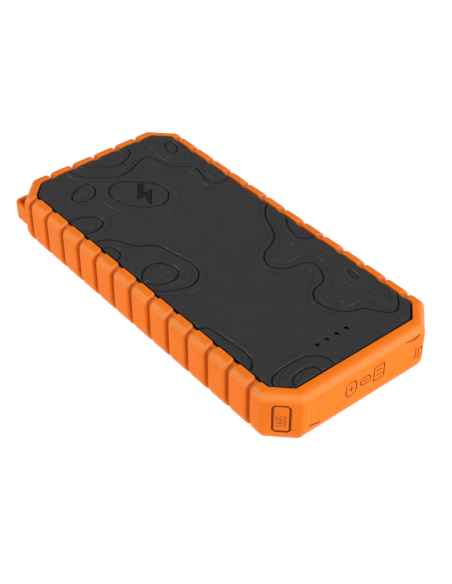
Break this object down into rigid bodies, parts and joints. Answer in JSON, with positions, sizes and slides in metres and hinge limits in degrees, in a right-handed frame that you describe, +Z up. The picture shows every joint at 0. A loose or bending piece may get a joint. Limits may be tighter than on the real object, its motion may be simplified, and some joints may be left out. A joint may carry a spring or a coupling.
{
  "type": "power bank",
  "caption": "Rugged pocket power bank: charcoal plates in a ribbed orange bumper, with a hinged port flap, corner power button, corner torch and carrying loop.",
  "frame": {"origin": "middle of the footprint, on the surface that the bumper stands on", "axes": "+Y along the length, away from the ports; +X across the width, to the right when looking at the relief cover with the ports nearest; +Z up, out of the cover with the four indicators"},
  "size_m": [0.086, 0.182, 0.024],
  "materials": {
    "bumper_orange": "soft satin rubber, moulded",
    "cover_black": "matte charcoal, fine moulded texture",
    "gasket_black": "matte",
    "cell_foil": "matte laminated foil",
    "foam_white": "soft foam",
    "board_green": "solder-mask satin",
    "chip_black": "matte",
    "ferrite_grey": "matte",
    "can_steel": "satin",
    "wire_red": "satin insulation",
    "wire_black": "satin insulation",
    "lens_clear": "clear polished",
    "reflector_bright": "mirror-bright",
    "led_yellow": "phosphor",
    "led_white": "satin",
    "smoked_clear": "smoked, polished end",
    "port_steel": "tin-plated, satin",
    "screw_steel": "black-zinc, satin"
  },
  "bodies": {
    "body": {"bumper_frame": "bumper_orange", "top_cover": "cover_black", "bottom_shell": "cover_black", "port_bezel": "cover_black", "seal_gasket": "gasket_black", "battery_cell_lower": "cell_foil", "battery_cell_upper": "cell_foil", "cell_pad": "foam_white", "protection_board": "board_green", "main_board": "board_green", "torch_board": "board_green", "controller_chip": "chip_black", "inductor_1": "ferrite_grey", "inductor_2": "ferrite_grey", "capacitor_1": "can_steel", "capacitor_2": "can_steel", "button_switch": "can_steel", "lead_positive": "wire_red", "lead_negative": "wire_black", "torch_lens": "lens_clear", "torch_reflector": "reflector_bright", "torch_led": "led_yellow", "usb_a_port_1_shell": "port_steel", "usb_a_port_2_shell": "port_steel", "usb_c_port_shell": "port_steel", "usb_a_port_1_tongue": "chip_black", "usb_a_port_2_tongue": "chip_black", "usb_c_port_tongue": "chip_black", "indicator_led_1": "led_white", "light_pipe_1": "smoked_clear", "cover_screw_1": "screw_steel", "indicator_led_2": "led_white", "light_pipe_2": "smoked_clear", "cover_screw_2": "screw_steel", "indicator_led_3": "led_white", "light_pipe_3": "smoked_clear", "cover_screw_3": "screw_steel", "indicator_led_4": "led_white", "light_pipe_4": "smoked_clear", "cover_screw_4": "screw_steel"},
    "flap": {"port_flap": "bumper_orange"},
    "button": {"power_button": "bumper_orange", "switch_plunger": "chip_black"}
  },
  "joints": [
    {"name": "flap_hinge", "type": "hinge", "parent": "body", "child": "flap", "pos_m": [-0.0252, -0.08945, 0.012], "axis": [0, 0, -1], "range_deg": [0, 110]},
    {"name": "button_press", "type": "slide", "parent": "body", "child": "button", "axis": [0.7071, 0.7071, 0], "range_m": [0, 0.0004], "stiffness_N_per_m": 4000}
  ]
}
